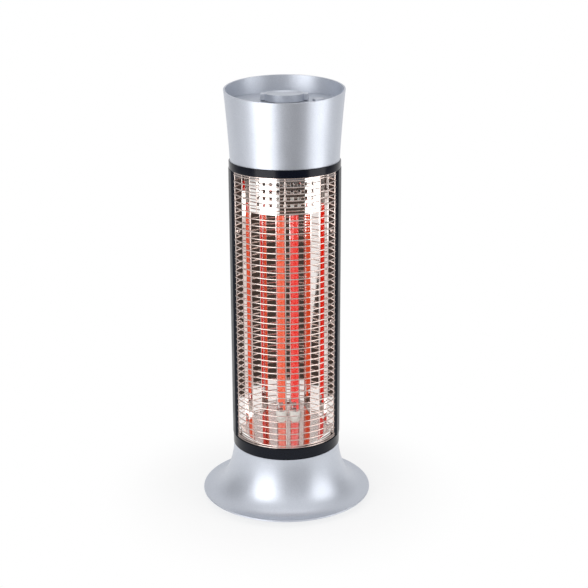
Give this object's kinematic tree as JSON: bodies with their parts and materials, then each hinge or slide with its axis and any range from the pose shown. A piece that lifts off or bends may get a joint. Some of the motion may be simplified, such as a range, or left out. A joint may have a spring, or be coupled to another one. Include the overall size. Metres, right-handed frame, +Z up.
{
  "type": "carbon tower heater",
  "caption": "Round tower heater: carbon tubes before a folded mirror reflector behind a wire grille, on a flared swivel base, with a slanted bowl-shaped head holding dial and button.",
  "frame": {"origin": "on the floor, under the base, on the axis of the column, which is the centre of the footprint", "axes": "+Z up along the column; -Y out of the front, where the grille is; +X to the right as seen from the front"},
  "size_m": [0.252, 0.252, 0.6199],
  "materials": {
    "silver_plastic": "metallic silver lacquer, satin",
    "silver_steel": "metallic silver lacquer, satin",
    "black_gloss": "polished black",
    "black_steel": "satin black lacquer",
    "mirror_sheet": "mirror polished sheet",
    "chrome_wire": "bright plated wire",
    "zinc_steel": "zinc plated",
    "grey_iron": "plain casting",
    "white_ceramic": "unglazed, fine grained",
    "quartz_glass": "clear quartz",
    "glowing_carbon": "wound carbon filament, glowing",
    "dark_plastic": "fine matte",
    "white_plastic": "fine matte",
    "black_rubber": "matte rubber"
  },
  "bodies": {
    "base": {"base_shell": "silver_plastic", "base_plate": "silver_steel", "ballast_ring": "grey_iron", "foot_1": "black_rubber", "foot_2": "black_rubber", "foot_3": "black_rubber", "foot_4": "black_rubber", "base_screw_1": "zinc_steel", "base_screw_2": "zinc_steel", "base_screw_3": "zinc_steel", "base_screw_4": "zinc_steel", "cord_gland": "black_rubber", "tip_switch": "dark_plastic", "swivel_bush": "white_plastic", "swing_motor": "zinc_steel", "motor_bracket": "zinc_steel", "bracket_screw_left": "zinc_steel", "bracket_screw_right": "zinc_steel"},
    "column": {"swivel_hub": "dark_plastic", "thrust_washer": "zinc_steel", "hub_screw_1": "zinc_steel", "hub_screw_2": "zinc_steel", "hub_screw_3": "zinc_steel", "swing_arm": "zinc_steel", "lower_ring": "black_gloss", "upper_ring": "black_gloss", "rear_housing": "black_steel", "reflector": "mirror_sheet", "reflector_screw_1": "zinc_steel", "reflector_screw_2": "zinc_steel", "reflector_screw_3": "zinc_steel", "reflector_screw_4": "zinc_steel", "reflector_screw_5": "zinc_steel", "reflector_screw_6": "zinc_steel", "chamber_floor": "mirror_sheet", "quartz_tube_left": "quartz_glass", "quartz_tube_right": "quartz_glass", "carbon_element_left": "glowing_carbon", "carbon_element_right": "glowing_carbon", "tube_cap_left_lower": "white_ceramic", "tube_cap_left_upper": "white_ceramic", "tube_cap_right_lower": "white_ceramic", "tube_cap_right_upper": "white_ceramic", "lower_cap_bracket": "zinc_steel", "upper_cap_bracket": "zinc_steel", "top_shield": "mirror_sheet", "front_grille": "chrome_wire", "head_shell": "silver_plastic", "control_panel": "silver_plastic", "rotary_switch": "dark_plastic", "button_switch": "dark_plastic", "terminal_block": "white_plastic"},
    "dial": {"power_dial": "silver_plastic", "switch_spindle": "zinc_steel"},
    "button": {"swing_button": "silver_plastic"},
    "crank": {"drive_crank": "white_plastic"},
    "plunger": {"tip_plunger": "white_plastic"}
  },
  "joints": [
    {"name": "column_swing", "type": "hinge", "parent": "base", "child": "column", "pos_m": [0, 0, 0.085], "axis": [0, 0, 1], "range_deg": [-35, 35]},
    {"name": "crank_turn", "type": "hinge", "parent": "base", "child": "crank", "pos_m": [0, 0.03, 0.07], "axis": [0, 0, 1], "range_deg": [-90, 90]},
    {"name": "dial_turn", "type": "hinge", "parent": "column", "child": "dial", "pos_m": [0, 0, 0.6], "axis": [0, 0, 1], "range_deg": [0, 90]},
    {"name": "button_press", "type": "slide", "parent": "column", "child": "button", "axis": [0, 0, -1], "range_m": [0, 0.003], "stiffness_N_per_m": 300, "springref_m": -0.001},
    {"name": "plunger_slide", "type": "slide", "parent": "base", "child": "plunger", "axis": [0, 0, 1], "range_m": [-0.004, 0], "stiffness_N_per_m": 60, "springref_m": -0.006}
  ],
  "couplings": [
    {"joint": "crank_turn", "follows": "column_swing", "ratio": 2.5714}
  ]
}
